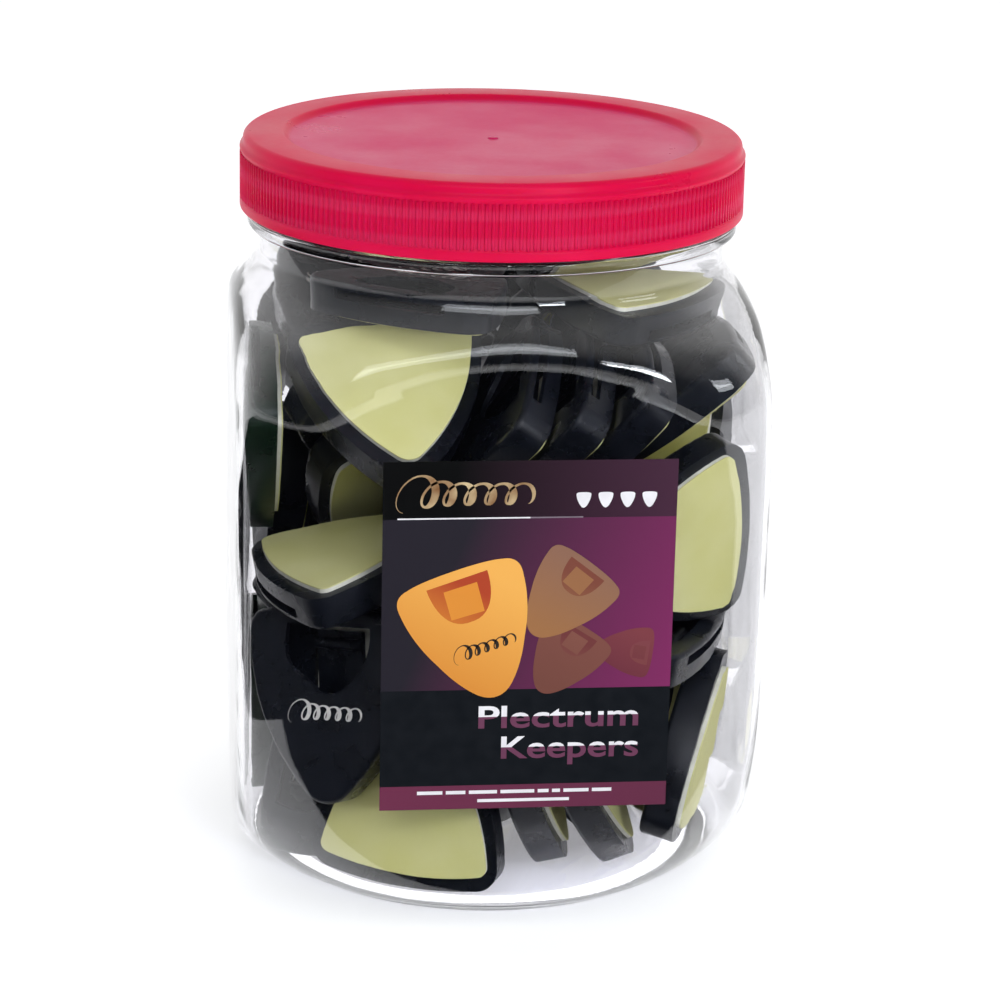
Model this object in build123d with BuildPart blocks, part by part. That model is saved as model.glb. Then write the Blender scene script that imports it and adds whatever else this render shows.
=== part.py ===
"""Screw-top display jar full of guitar pick holders, each holder built from its own pieces."""

import os

import numpy as np
from build123d import *

os.makedirs("parts", exist_ok=True)

# ---------------------------------------------------------------- jar, millimetres
jar_half_width = 60.4        # from the axis to each flat panel
jar_wall = 1.3
neck_radius = 54.0
bead_radius = 57.0
bead_bottom, bead_top = 151.0, 153.9
rim_height = 167.8
foot_outer, foot_inner, foot_rise = 51.0, 44.0, 2.4
# radius of the rounded corners at each height
heel = [(2.0, 55.0), (7.5, 61.6), (15.0, 66.7), (24.0, 70.6), (42.0, 74.6), (60.0, 75.5)]
shoulder = [(117.0, 75.5), (125.0, 73.6), (131.4, 68.6), (136.9, 60.4), (140.6, 56.3), (145.0, neck_radius)]

# ---------------------------------------------------------------- screw thread
thread_pitch = 6.35
thread_turns = 1.25
thread_start = 157.0
thread_root, thread_crest = 2.4, 0.9     # width of the ridge at the wall and at its edge
neck_thread_depth = 1.4
lid_thread_depth = 1.7

# ---------------------------------------------------------------- lid and liner
lid_radius = 58.0
lid_bottom = 154.5
lid_top = 171.6
lid_bore = 56.6
top_rim_radius = 57.2
top_step = 1.1
panel_radius = 47.0
panel_recess = 1.4
panel_thickness = 1.4
band_height = 2.2            # plain band under the gripping ribs
rib_depth = 0.5
liner_radius = 56.2
liner_thickness = 1.0

# ---------------------------------------------------------------- label
label_width, label_height, label_thickness = 64.8, 81.5, 0.2
label_x, label_z = 3.1, 70.4

# ---------------------------------------------------------------- pick holder
wide_edge_crown = 21.8
corner_x, corner_z = 22.3, 18.8
side_x, side_z = 17.7, -2.6
tip_z = -25.5
corner_round, tip_round = 5.5, 7.0
front_depth, back_depth = 4.5, 3.3
pad_thickness, backing_thickness = 0.9, 0.3
shell_wall, face_wall, floor_wall = 1.5, 1.3, 1.4
pad_inset = 3.2
window_width, window_top, window_bottom = 21.5, 17.2, 1.8
slot_width, slot_low, slot_high = 27.0, 0.6, 3.0
tongue_half_width = 6.0
tongue_root, tongue_end = 1.2, 15.8
tongue_thickness = 1.2
tongue_lean = 1.7            # how far the free end stands forward of the root
tongue_gap = 1.2
bump_radius, bump_z = 1.3, 12.8
root_gap = 0.4

# ---------------------------------------------------------------- pile
holder_count = 58
pile_seed = 3
pile_floor, pile_ceiling = 4.1, 149.0
clearance = 0.15             # kept free all round each holder
wall_clearance = 0.45
settle_steps = 3200
growth_share = 0.45          # share of the steps in which the holders grow to full size
start_scale = 0.35
turn_arm = 13.0              # radius of gyration of a holder
relax = 1.25
hold = 0.03                  # how firmly the holders against the wall keep their places
hold_share = 0.7             # share of the steps in which they are held
layer_count = 6
sprung_holders = (0, 8, 11, 15, 16, 17)

# holders lying against the wall: centre, way the face looks, way the wide edge points
against_wall = [
    ((-39, -43.5, 51), (-0.5, -0.86, 0.03), (-0.22, 0, 0.97)),
    ((-21, -47, 28.5), (0.3, 0.93, -0.12), (-0.1, -0.15, -1)),
    ((34, -42, 86), (-0.57, 0.82, 0), (0.82, 0.57, 0.1)),
    ((-26, -37, 117), (0, 0.55, -0.83), (-0.25, 0.83, 0.5)),
    ((-1, -29, 108), (-0.78, -0.08, 0.62), (0.55, -0.4, 0.72)),
    ((11, -34, 109), (-0.78, -0.05, 0.62), (0.6, -0.3, 0.75)),
    ((24, -33, 110), (-0.78, 0, 0.62), (0.6, -0.3, 0.75)),
    ((39, -21, 117), (-0.6, -0.2, 0.75), (0.75, 0, 0.6)),
    ((-54, -18, 101), (-1, -0.12, 0), (0, -0.1, 1)),
    ((-38, -35, 79), (0.25, 0.35, -0.9), (-0.8, -0.5, -0.4)),
    ((31, -18, 138), (-0.2, 0.3, -0.93), (0.6, -0.75, -0.2)),
    ((29, -31, 63), (0.05, -0.1, 1), (0.9, -0.5, 0)),
    ((47, -31, 37), (-0.98, 0.25, 0.05), (0.1, -0.1, -0.95)),
    ((8, -35, 28), (-0.95, 0.22, -0.2), (-0.3, -0.1, 0.95)),
    ((21, -35, 28), (-0.92, 0.2, -0.3), (-0.35, -0.1, 0.92)),
    ((-14, -20, 139), (-0.05, -0.05, 1), (-0.6, -0.8, 0)),
    ((-53, 2, 36), (-1, -0.05, 0), (0, 0.05, 1)),
    ((53, 6, 70), (1, 0.1, 0), (0, 0.3, 1)),
]


def ridge(start, turns, radius, depth, angle):
    """Helical thread ridge standing out of a wall (depth > 0) or into a bore (depth < 0)."""
    with BuildPart() as thread:
        with BuildLine() as path:
            Helix(pitch=thread_pitch, height=thread_pitch * turns, radius=radius)
        at_start = Plane(origin=path.line @ 0, x_dir=(1, 0, 0), z_dir=path.line % 0)
        root = -0.4 if depth > 0 else 0.4
        with BuildSketch(at_start):
            Polygon(
                (root, -thread_root / 2),
                (depth, -thread_crest / 2),
                (depth, thread_crest / 2),
                (root, thread_root / 2),
                align=None,
            )
        sweep(path=path.line, is_frenet=True)
    return thread.part.moved(Location((0, 0, start), (0, 0, angle)))


def body_outline(inset):
    """Half section of the jar below its bead, drawn from the axis; inset moves it inwards."""
    low = foot_rise + inset if inset else 0
    with BuildLine() as line:
        Line((0, foot_rise + inset), (foot_inner - inset, foot_rise + inset))
        Line((foot_inner - inset, foot_rise + inset), (foot_inner + 2 - inset, low))
        Line((foot_inner + 2 - inset, low), (foot_outer - inset, low))
        Spline(
            (foot_outer - inset, low),
            *[(r - inset, z + inset) for z, r in heel[1:-1]],
            (heel[-1][1] - inset, heel[-1][0]),
            tangents=[(1, 0.25), (0, 1)],
        )
        Line((heel[-1][1] - inset, heel[-1][0]), (shoulder[0][1] - inset, shoulder[0][0]))
        Spline(*[(r - inset, z) for z, r in shoulder], tangents=[(0, 1), (0, 1)])
    return line.line


def square_prism(half_width):
    with BuildPart() as prism:
        with BuildSketch():
            Rectangle(2 * half_width, 2 * half_width)
        extrude(amount=rim_height + 10)
    return prism.part


# ================================================================ jar
with BuildPart() as jar_inside:
    with BuildSketch(Plane.XZ):
        with BuildLine():
            add(body_outline(jar_wall))
            Line((neck_radius - jar_wall, 145.0), (neck_radius - jar_wall, rim_height + 5))
            Line((neck_radius - jar_wall, rim_height + 5), (0, rim_height + 5))
            Line((0, rim_height + 5), (0, foot_rise + jar_wall))
        make_face()
    revolve(axis=Axis.Z)
    add(square_prism(jar_half_width - jar_wall), mode=Mode.INTERSECT)

with BuildPart() as jar_shell:
    with BuildSketch(Plane.XZ):
        with BuildLine():
            add(body_outline(0))
            Polyline(
                (neck_radius, 145.0),
                (neck_radius, bead_bottom),
                (bead_radius, bead_bottom),
                (bead_radius, bead_top),
                (neck_radius, bead_top),
                (neck_radius, rim_height),
                (0, rim_height),
                (0, foot_rise),
            )
        make_face()
    revolve(axis=Axis.Z)
    add(square_prism(jar_half_width), mode=Mode.INTERSECT)
    circles = jar_shell.edges().filter_by(GeomType.CIRCLE)
    fillet(circles.filter_by(lambda edge: abs(edge.radius - bead_radius) < 0.01), 0.9)
    add(jar_inside.part, mode=Mode.SUBTRACT)
    add(ridge(thread_start, thread_turns, neck_radius, neck_thread_depth, 0))
jar_shell.part.label = "jar_shell"
export_step(jar_shell.part, "parts/jar_shell.step")

# ================================================================ lid and liner
panel_top = lid_top - panel_recess
panel_bottom = panel_top - panel_thickness
with BuildPart() as lid_shell:
    with BuildSketch(Plane.XZ):
        with BuildLine():
            Polyline(
                (0, panel_bottom),
                (0, panel_top),
                (panel_radius, panel_top),
                (panel_radius + 0.6, lid_top - 0.5),
                (panel_radius + 1.6, lid_top),
                (top_rim_radius - 1.0, lid_top),
                (top_rim_radius, lid_top - 1.0),
                (top_rim_radius, lid_top - top_step - 1.2),
                (lid_radius, lid_top - top_step - 1.9),
                (lid_radius, lid_top - top_step - 2.6),
                (lid_radius - rib_depth, lid_top - top_step - 3.1),
                (lid_radius - rib_depth, lid_bottom + band_height + 0.5),
                (lid_radius, lid_bottom + band_height),
                (lid_radius, lid_bottom + 0.4),
                (lid_radius - 0.4, lid_bottom),
                (lid_bore, lid_bottom),
                (lid_bore, panel_bottom),
                (0, panel_bottom),
            )
        make_face()
    revolve(axis=Axis.Z)
    with Locations((0, 0, panel_top - 0.05)):
        Cylinder(1.3, 0.35, align=(Align.CENTER, Align.CENTER, Align.MIN))
    add(ridge(thread_start, thread_turns, lid_bore, -lid_thread_depth, 180))
lid_shell.part.label = "lid_shell"
export_step(lid_shell.part, "parts/lid_shell.step")

with BuildPart() as lid_liner:
    with Locations((0, 0, panel_bottom - liner_thickness)):
        Cylinder(liner_radius, liner_thickness, align=(Align.CENTER, Align.CENTER, Align.MIN))
    fillet(lid_liner.edges().group_by(Axis.Z)[0], 0.3)
lid_liner.part.label = "lid_liner"
export_step(lid_liner.part, "parts/lid_liner.step")

# ================================================================ label
with BuildPart() as front_label:
    with BuildSketch(Plane.XZ.offset(jar_half_width)):
        with Locations((label_x, label_z)):
            Rectangle(label_width, label_height)
    extrude(amount=label_thickness)
front_label.part.label = "front_label"
export_step(front_label.part, "parts/front_label.step")

# ================================================================ one holder, face towards -Y
def rounded_triangle(inset):
    """Outline of a pick, wide edge up, drawn the given distance inside the holder's own edge."""
    left, right = (-corner_x + 0.75 * inset, corner_z - inset), (corner_x - 0.75 * inset, corner_z - inset)
    tip = (0, tip_z + 1.5 * inset)
    with BuildSketch() as shape:
        with BuildLine():
            ThreePointArc(left, (0, wide_edge_crown - inset), right)
            ThreePointArc(right, (side_x - inset, side_z), tip)
            ThreePointArc(tip, (inset - side_x, side_z), left)
        make_face()
        fillet(shape.vertices().group_by(Axis.Y)[-1], corner_round - inset)
        fillet(shape.vertices().sort_by(Axis.Y)[0], tip_round - inset)
    return shape.sketch


def blank(near, far, inset):
    """Slab of the holder's outline between two depths, near and far being y values."""
    with BuildPart() as slab:
        with BuildSketch(Plane.XZ.offset(-far)):
            add(rounded_triangle(inset))
        extrude(amount=far - near)
    return slab.part


def tongue_bar(root_z):
    """Sprung tongue leaning forward from its root, with a thumb bump near its free end."""
    back = back_depth - floor_wall + tongue_thickness
    with BuildPart() as bar:
        with BuildSketch(Plane.YZ):
            Polygon(
                (back - tongue_thickness, root_z),
                (back, root_z),
                (back, tongue_root + 1),
                (back - tongue_lean, tongue_end),
                (back - tongue_lean - tongue_thickness, tongue_end),
                (back - tongue_thickness, tongue_root + 1),
                align=None,
            )
            along = (bump_z - tongue_root) / (tongue_end - tongue_root)
            with Locations((back - tongue_thickness - tongue_lean * along, bump_z)):
                Circle(bump_radius)
        extrude(amount=tongue_half_width, both=True)
    return bar.part


with BuildPart() as front_shell:
    add(blank(-front_depth, 0, 0))
    fillet(front_shell.edges().group_by(Axis.Y)[0], 1.2)
    add(blank(-front_depth + face_wall, 0, shell_wall), mode=Mode.SUBTRACT)
    with BuildSketch(Plane.XZ.offset(front_depth)):
        with BuildLine():
            Line((-window_width / 2, window_top), (window_width / 2, window_top))
            Spline(
                (window_width / 2, window_top),
                (window_width / 2 - 3.2, window_bottom + 4.6),
                (0, window_bottom),
                (-window_width / 2 + 3.2, window_bottom + 4.6),
                (-window_width / 2, window_top),
                tangents=[(0.1, -1), (0.1, 1)],
            )
        make_face()
    extrude(amount=-face_wall, mode=Mode.SUBTRACT)
    with Locations((0, -(slot_low + slot_high) / 2, wide_edge_crown)):
        Box(slot_width, slot_high - slot_low, 8, mode=Mode.SUBTRACT)

with BuildPart() as back_plate:
    add(blank(0, back_depth, 0))
    add(blank(0, back_depth - floor_wall, shell_wall), mode=Mode.SUBTRACT)
    gap_low, gap_high = tongue_root - root_gap, tongue_end + tongue_gap
    with Locations((0, back_depth - floor_wall / 2, (gap_low + gap_high) / 2)):
        Box(2 * (tongue_half_width + tongue_gap), floor_wall + 1, gap_high - gap_low, mode=Mode.SUBTRACT)

with BuildPart() as back_plate_with_tongue:
    add(back_plate.part)
    add(tongue_bar(gap_low - 0.6))

loose_tongue = tongue_bar(tongue_root)
foam_pad = blank(back_depth, back_depth + pad_thickness, pad_inset)
backing_paper = blank(back_depth + pad_thickness, back_depth + pad_thickness + backing_thickness, pad_inset)


# ================================================================ the pile
def axes_of(face, wide_edge):
    """Rotation matrix whose columns are a holder's right, back and wide-edge directions."""
    back = -np.array(face, float)
    back /= np.linalg.norm(back)
    up = np.array(wide_edge, float)
    up -= back * (up @ back)
    up /= np.linalg.norm(up)
    return np.stack([np.cross(back, up), back, up], 1)


def corner_limit(z):
    """Largest distance from the axis that a holder may reach at height z."""
    profile = [(0.0, foot_outer)] + heel + shoulder
    heights = [point[0] for point in profile]
    radii = [point[1] - jar_wall - wall_clearance for point in profile]
    return np.interp(z, heights, radii)


def bounding_prism(sides=10):
    """Corners, face normals and edge directions of a prism that just holds one holder."""
    rim = rounded_triangle(0).faces()[0].outer_wire()
    points = np.array([((rim @ t).X, (rim @ t).Y) for t in np.linspace(0, 1, 91)])
    angle = np.pi / 2 + np.arange(sides) * 2 * np.pi / sides
    normal = np.stack([np.cos(angle), np.sin(angle)], 1)
    reach = (points @ normal.T).max(0) + clearance
    following = np.roll(np.arange(sides), -1)
    ring = np.array([
        np.linalg.solve(normal[[k, following[k]]], reach[[k, following[k]]]) for k in range(sides)
    ])
    half = front_depth + clearance
    corners = np.concatenate([
        np.column_stack([ring[:, 0], np.full(sides, y), ring[:, 1]]) for y in (-half, half)
    ])
    half_normals = normal[: sides // 2]
    zero = np.zeros(sides // 2)
    thickness_way = np.array([[0.0, 1.0, 0.0]])
    faces = np.concatenate([thickness_way, np.column_stack([half_normals[:, 0], zero, half_normals[:, 1]])])
    edges = np.concatenate([thickness_way, np.column_stack([-half_normals[:, 1], zero, half_normals[:, 0]])])
    return corners, faces, edges


def depth_along(first, second, axes):
    """Overlap of two sets of corners along each axis, signed so that first is pushed backwards."""
    a = np.einsum("pvk,pak->pav", first, axes)
    b = np.einsum("pvk,pak->pav", second, axes)
    forward = a.max(2) - b.min(2)
    backward = b.max(2) - a.min(2)
    sign = np.where(forward <= backward, 1.0, -1.0)
    return np.minimum(forward, backward), sign


def least(depth, sign, axes):
    rows = np.arange(len(depth))
    pick = depth.argmin(1) if len(depth) else np.zeros(0, int)
    return depth[rows, pick], axes[rows, pick] * sign[rows, pick][:, None]


def touching(corners, faces, edges, near):
    """Pairs that overlap, with the depth, the direction and the point of each contact."""
    i, j = near
    axes = np.concatenate([faces[i], faces[j]], 1)
    depth, way = least(*depth_along(corners[i], corners[j], axes), axes)
    hit = depth > 0
    i, j, depth, way = i[hit], j[hit], depth[hit], way[hit]
    count = edges.shape[1] ** 2
    crossed = np.cross(edges[i][:, :, None], edges[j][:, None, :]).reshape(len(i), count, 3)
    length = np.linalg.norm(crossed, axis=2)
    crossed = crossed / np.maximum(length, 1e-9)[..., None]
    edge_depth, sign = depth_along(corners[i], corners[j], crossed)
    edge_depth = np.where(length > 0.05, edge_depth, np.inf)
    edge_depth, edge_way = least(edge_depth, sign, crossed)
    better = edge_depth < depth
    way = np.where(better[:, None], edge_way, way)
    depth = np.where(better, edge_depth, depth)
    hit = depth > 0
    i, j, depth, way = i[hit], j[hit], depth[hit], way[hit]
    along_i = np.einsum("pvk,pk->pv", corners[i], way)
    along_j = np.einsum("pvk,pk->pv", corners[j], way)
    front_i = along_i > along_i.max(1, keepdims=True) - 0.5
    front_j = along_j < along_j.min(1, keepdims=True) + 0.5
    size_i = front_i.sum(1)[:, None]
    size_j = front_j.sum(1)[:, None]
    mean_i = (corners[i] * front_i[..., None]).sum(1) / size_i
    mean_j = (corners[j] * front_j[..., None]).sum(1) / size_j
    point = np.where(size_i < size_j, mean_i, np.where(size_j < size_i, mean_j, (mean_i + mean_j) / 2))
    return i, j, depth, way, point


def jar_walls(corners):
    """Distance of each corner past each wall of the jar, with the way back inside."""
    flat = jar_half_width - jar_wall - 0.1
    x, y, z = corners[..., 0], corners[..., 1], corners[..., 2]
    radius = np.maximum(np.hypot(x, y), 1e-6)
    slope = corner_limit(z + 0.5) - corner_limit(z - 0.5)
    inward = np.stack([-x / radius, -y / radius, slope], 2)
    length = np.linalg.norm(inward, axis=2)
    yield x - flat, np.broadcast_to([-1.0, 0, 0], corners.shape)
    yield -x - flat, np.broadcast_to([1.0, 0, 0], corners.shape)
    yield y - flat, np.broadcast_to([0, -1.0, 0], corners.shape)
    yield -y - flat, np.broadcast_to([0, 1.0, 0], corners.shape)
    yield pile_floor - z, np.broadcast_to([0, 0, 1.0], corners.shape)
    yield z - pile_ceiling, np.broadcast_to([0, 0, -1.0], corners.shape)
    yield (radius - corner_limit(z)) / length, inward / length[..., None]


def turned(axes, twist):
    """Axes turned by a small rotation vector, squared up again and rounded."""
    angle = np.linalg.norm(twist, axis=1, keepdims=True)
    unit = twist / np.maximum(angle, 1e-12)
    angle = np.minimum(angle, 0.2)[..., None]
    cross = np.zeros((len(axes), 3, 3))
    cross[:, 0, 1], cross[:, 0, 2], cross[:, 1, 2] = -unit[:, 2], unit[:, 1], -unit[:, 0]
    cross -= cross.transpose(0, 2, 1)
    axes = (np.eye(3) + np.sin(angle) * cross + (1 - np.cos(angle)) * (cross @ cross)) @ axes
    back = axes[:, :, 1] / np.linalg.norm(axes[:, :, 1], axis=1, keepdims=True)
    up = axes[:, :, 2] - back * (axes[:, :, 2] * back).sum(1, keepdims=True)
    up /= np.linalg.norm(up, axis=1, keepdims=True)
    return np.round(np.stack([np.cross(back, up), back, up], 2), 6)


def settled(centres, axes, freedom):
    """Holders grown to full size inside the jar and pushed apart until none overlaps."""
    prism, face_normals, edge_ways = bounding_prism()
    count = len(centres)
    inertia = turn_arm ** 2
    kept = len(against_wall)
    home, home_axes = centres[:kept].copy(), axes[:kept].copy()
    for step in range(settle_steps):
        scale = min(1.0, start_scale + (1 - start_scale) * step / (growth_share * settle_steps))
        corners = np.einsum("nij,vj->nvi", axes, prism * scale) + centres[:, None]
        if step % 6 == 0:
            apart = np.linalg.norm(centres[:, None] - centres[None], axis=2)
            within = 2 * scale * np.linalg.norm(prism, axis=1).max() + 2
            near = np.nonzero(np.triu(apart < within, 1))
        faces = np.einsum("nij,aj->nai", axes, face_normals)
        edges = np.einsum("nij,aj->nai", axes, edge_ways)
        i, j, depth, way, point = touching(corners, faces, edges, near)
        arm_i = np.cross(point - centres[i], way)
        arm_j = np.cross(point - centres[j], way)
        give = freedom[i] * (1 + (arm_i ** 2).sum(1) / inertia)
        give += freedom[j] * (1 + (arm_j ** 2).sum(1) / inertia)
        push_i = (depth / give * freedom[i])[:, None]
        push_j = (depth / give * freedom[j])[:, None]
        shift = np.zeros_like(centres)
        twist = np.zeros_like(centres)
        contacts = np.zeros(count)
        np.add.at(shift, i, -push_i * way)
        np.add.at(shift, j, push_j * way)
        np.add.at(twist, i, -push_i / inertia * arm_i)
        np.add.at(twist, j, push_j / inertia * arm_j)
        np.add.at(contacts, i, 1)
        np.add.at(contacts, j, 1)
        for past, inward in jar_walls(corners):
            deepest = past.argmax(1)
            over = past[np.arange(count), deepest]
            out = np.nonzero(over > 0)[0]
            way = inward[out, deepest[out]]
            arm = np.cross(corners[out, deepest[out]] - centres[out], way)
            push = (over[out] / (1 + (arm ** 2).sum(1) / inertia))[:, None]
            shift[out] += push * way
            twist[out] += push / inertia * arm
            contacts[out] += 1
        share = relax / np.sqrt(np.maximum(contacts, 1))[:, None]
        shift *= share
        twist *= share
        if step < hold_share * settle_steps:
            shift[:kept] += hold * (home - centres[:kept])
            twist[:kept] += hold * np.cross(axes[:kept], home_axes, axis=1).sum(2) / 2
        centres = np.round(centres + shift, 4)
        axes = turned(axes, twist)
    return centres, axes


chance = np.random.default_rng(pile_seed)
start = [np.array(centre, float) for centre, face, wide_edge in against_wall]
facing = [axes_of(face, wide_edge) for centre, face, wide_edge in against_wall]
while len(start) < holder_count:
    tries = chance.uniform((-44, -44, 12), (44, 44, 132), (30, 3))
    tries[tries[:, 2] > 120, :2] *= 0.7
    room = np.linalg.norm(tries[:, None] - np.array(start)[None], axis=2).min(1)
    start.append(tries[room.argmax()])
    facing.append(axes_of(chance.normal(size=3), chance.normal(size=3)))
freedom = np.ones(holder_count)
freedom[: len(against_wall)] = 0.15
freedom[:3] = 0.05
centres, axes = settled(np.array(start), np.array(facing), freedom)
places = [
    Plane(origin=tuple(centre), x_dir=tuple(way[:, 0]), z_dir=tuple(way[:, 2])).location
    for centre, way in zip(centres, axes)
]


def lay(solid, name, members):
    """One node holding a copy of the same piece for each of the named holders."""
    node = Compound([solid.solid().moved(places[k]) for k in members])
    node.label = name
    export_step(node, f"parts/{name}.step")


for number, holder in enumerate(sprung_holders, 1):
    lay(front_shell.part, f"holder_{number}_front_shell", [holder])
    lay(back_plate.part, f"holder_{number}_back_plate", [holder])
    lay(loose_tongue, f"holder_{number}_tongue", [holder])
    lay(foam_pad, f"holder_{number}_foam_pad", [holder])
    lay(backing_paper, f"holder_{number}_backing_paper", [holder])

others = [k for k in range(holder_count) if k not in sprung_holders]
others.sort(key=lambda k: centres[k][2])
for number, members in enumerate(np.array_split(others, layer_count), 1):
    lay(front_shell.part, f"layer_{number}_front_shells", members)
    lay(back_plate_with_tongue.part, f"layer_{number}_back_plates", members)
    lay(foam_pad, f"layer_{number}_foam_pads", members)
    lay(backing_paper, f"layer_{number}_backing_papers", members)
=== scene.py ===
"""Looks of the jar of guitar pick holders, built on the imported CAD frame."""

from __future__ import annotations

import logging
import math
from collections.abc import Sequence
from dataclasses import dataclass
from enum import Enum

import bpy
import numpy as np
from mathutils import Matrix, Vector

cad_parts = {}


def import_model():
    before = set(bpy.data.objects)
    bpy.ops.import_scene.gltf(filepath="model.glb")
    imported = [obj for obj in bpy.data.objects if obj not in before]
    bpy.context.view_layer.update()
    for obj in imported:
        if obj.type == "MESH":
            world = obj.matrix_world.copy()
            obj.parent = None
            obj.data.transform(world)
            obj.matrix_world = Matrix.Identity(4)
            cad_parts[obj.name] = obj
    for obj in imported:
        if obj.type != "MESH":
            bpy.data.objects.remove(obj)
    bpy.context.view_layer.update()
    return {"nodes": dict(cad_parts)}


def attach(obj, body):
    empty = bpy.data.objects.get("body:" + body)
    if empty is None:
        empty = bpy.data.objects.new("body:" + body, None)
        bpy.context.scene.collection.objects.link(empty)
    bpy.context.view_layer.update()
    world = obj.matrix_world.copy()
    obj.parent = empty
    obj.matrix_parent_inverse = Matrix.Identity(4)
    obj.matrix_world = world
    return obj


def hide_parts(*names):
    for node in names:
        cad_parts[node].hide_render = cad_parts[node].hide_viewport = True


LOG = logging.getLogger("jar")
MM = 0.001
INK = 0.012  # thickness of a printed layer, in millimetres
INK_STEP = 0.005  # rise from one stacking level of print to the next, in millimetres
GREEN_HOLDERS = ("holder_2_", "holder_5_")
Pair = tuple[float, float]
Point = tuple[float, float, float]
Colour = tuple[float, float, float]


# ------------------------------------------------------------------ sizes and colours
@dataclass(frozen=True)
class JarShape:
    """Sizes of the blown jar, in millimetres."""

    half_width: float = 60.4
    mean_radius: float = 60.0
    wall: float = 1.2
    base: float = 2.4
    crease_heights: Pair = (108.0, 126.0)
    crispness: Pair = (46.0, 21.0)
    neck: float = 54.0
    neck_start: float = 145.0
    bead: float = 57.0
    bead_low: float = 151.0
    bead_high: float = 153.9
    rim: float = 167.8
    edge_round: float = 0.7
    thread_depth: float = 1.4


@dataclass(frozen=True)
class LidShape:
    """Sizes of the screw lid, in millimetres."""

    radius: float = 58.0
    bottom: float = 154.5
    top: float = 171.6
    bore: float = 56.5
    ribs: int = 240
    rib_low: float = 157.0
    rib_high: float = 167.3
    rib_depth: float = 0.42
    rib_sink: float = 0.05
    rib_radius: float = 0.46
    rib_scale: Pair = (0.96, 1.0)
    rib_seed: int = 7
    edge_round: float = 0.45
    thread_depth: float = 1.6


@dataclass(frozen=True)
class LabelShape:
    """Place and size of the printed label, in millimetres."""

    x: float = 3.1
    z: float = 70.4
    width: float = 64.8
    height: float = 81.5
    face: float = 60.6
    thickness: float = 0.2


@dataclass(frozen=True)
class Thread:
    """Helical thread shared by the neck and the lid, in millimetres."""

    pitch: float = 6.35
    turns: float = 1.25
    start: float = 157.0


@dataclass(frozen=True)
class HolderShape:
    """Outline, window and stack of one holder, in millimetres."""

    crown: float = 21.8
    corner: Pair = (22.3, 18.8)
    side: Pair = (17.7, -2.6)
    tip: float = -25.5
    shade_reach: float = 22.0
    window_shade_reach: float = 14.0
    tongue: tuple[Pair, ...] = ((-6, 5.5), (5.5, 5.0), (6.2, 15.6), (-5.5, 15.8))
    shell_from_paper: float = 6.8
    face_from_paper: float = 8.86
    emblem_z: float = -6.0
    emblem_width: float = 17.0


@dataclass(frozen=True)
class View:
    """Place of the camera: angles in degrees, distances in metres, the lens in millimetres."""

    azimuth: float = -6.53
    elevation: float = 17.46
    pan: float = 0.26
    roll: float = 1.23
    distance: float = 0.7751
    target: Point = (0.0, 0.0, 0.0832)
    focal: float = 117.48
    sensor: float = 36.0
    near: float = 0.01


@dataclass(frozen=True)
class Lamp:
    """One area lamp: place, aim, width and height in metres, power in watts."""

    name: str
    place: Point
    aim: Point
    width: float
    height: float
    power: float


@dataclass(frozen=True)
class Finish:
    """Numbers of one plastic, paper or foam surface."""

    name: str
    colour: Colour
    second: Colour
    low: float
    high: float
    scale: float
    bump: float
    grain: float
    transmission: float = 0.0
    ior: float = 1.46
    gloss: float = 0.5
    metal: float = 0.0


class Slot(Enum):
    """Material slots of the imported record."""

    JAR = "clear_pet"
    LABEL = "label_print"
    LID = "red_lid"
    LINER = "liner_foam"
    TAPE = "foam_tape"
    PAPER = "release_paper"
    BLACK = "black_plastic"


class Zone(Enum):
    """Which part of a holder a CAD node is."""

    SHELL = "front_shell"
    PLATE = "back_plate"
    TONGUE = "tongue"
    TAPE = "foam_pad"
    PAPER = "backing_paper"


JAR = JarShape()
LID = LidShape()
LABEL = LabelShape()
THREAD = Thread()
HOLDER = HolderShape()
VIEW = View()
LAMPS = (
    Lamp("key", (-0.10, -1.05, 0.90), (0, 0, 0.08), 0.9, 0.38, 4.2),
    Lamp("front", (0.45, -1.10, 0.42), (0, 0, 0.07), 0.25, 0.12, 3.4),
    Lamp("side", (1.0, -0.35, 0.55), (0, 0, 0.08), 0.4, 0.12, 1.0),
)
LAMP_COLOUR = (0.92, 0.96, 1.0)

BLACK = Finish(
    "black plastic", (0.0035, 0.0045, 0.0070), (0.008, 0.0095, 0.014), 0.18, 0.42, 90.0, 0.05, 900.0,
    gloss=0.32,
)
GREEN = Finish(
    "dark green plastic", (0.0025, 0.0090, 0.0040), (0.0050, 0.0160, 0.0075), 0.18, 0.42, 90.0, 0.05, 900.0,
    gloss=0.32,
)
PAPER = Finish(
    "release paper", (0.60, 0.58, 0.22), (0.68, 0.66, 0.31), 0.45, 0.70, 60.0, 0.03, 1500.0, gloss=0.3
)
TAPE = Finish("foam tape", (0.62, 0.61, 0.50), (0.75, 0.74, 0.63), 0.75, 0.95, 400.0, 0.25, 2500.0)
# The liner foam is white; its pink tone is painted red light from the crimson lid.
LINER = Finish("lid liner", (0.80, 0.62, 0.66), (0.88, 0.72, 0.75), 0.6, 0.8, 150.0, 0.10, 2000.0)
RED = Finish(
    "crimson polypropylene", (0.70, 0.0015, 0.052), (0.78, 0.0035, 0.072), 0.26, 0.44, 45.0, 0.03, 700.0,
    transmission=0.04, ior=1.40, gloss=0.12,
)
FOIL = Finish("emblem print", (0.62, 0.60, 0.55), (0.80, 0.77, 0.70), 0.30, 0.50, 300.0, 0.02, 1500.0)
GOLD = Finish(
    "gold print", (0.30, 0.13, 0.045), (0.78, 0.60, 0.34), 0.35, 0.55, 160.0, 0.02, 1500.0, metal=0.35
)
WHITE_INK = Finish("white ink", (0.76, 0.74, 0.77), (0.86, 0.84, 0.87), 0.45, 0.65, 300.0, 0.02, 1500.0)
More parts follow.
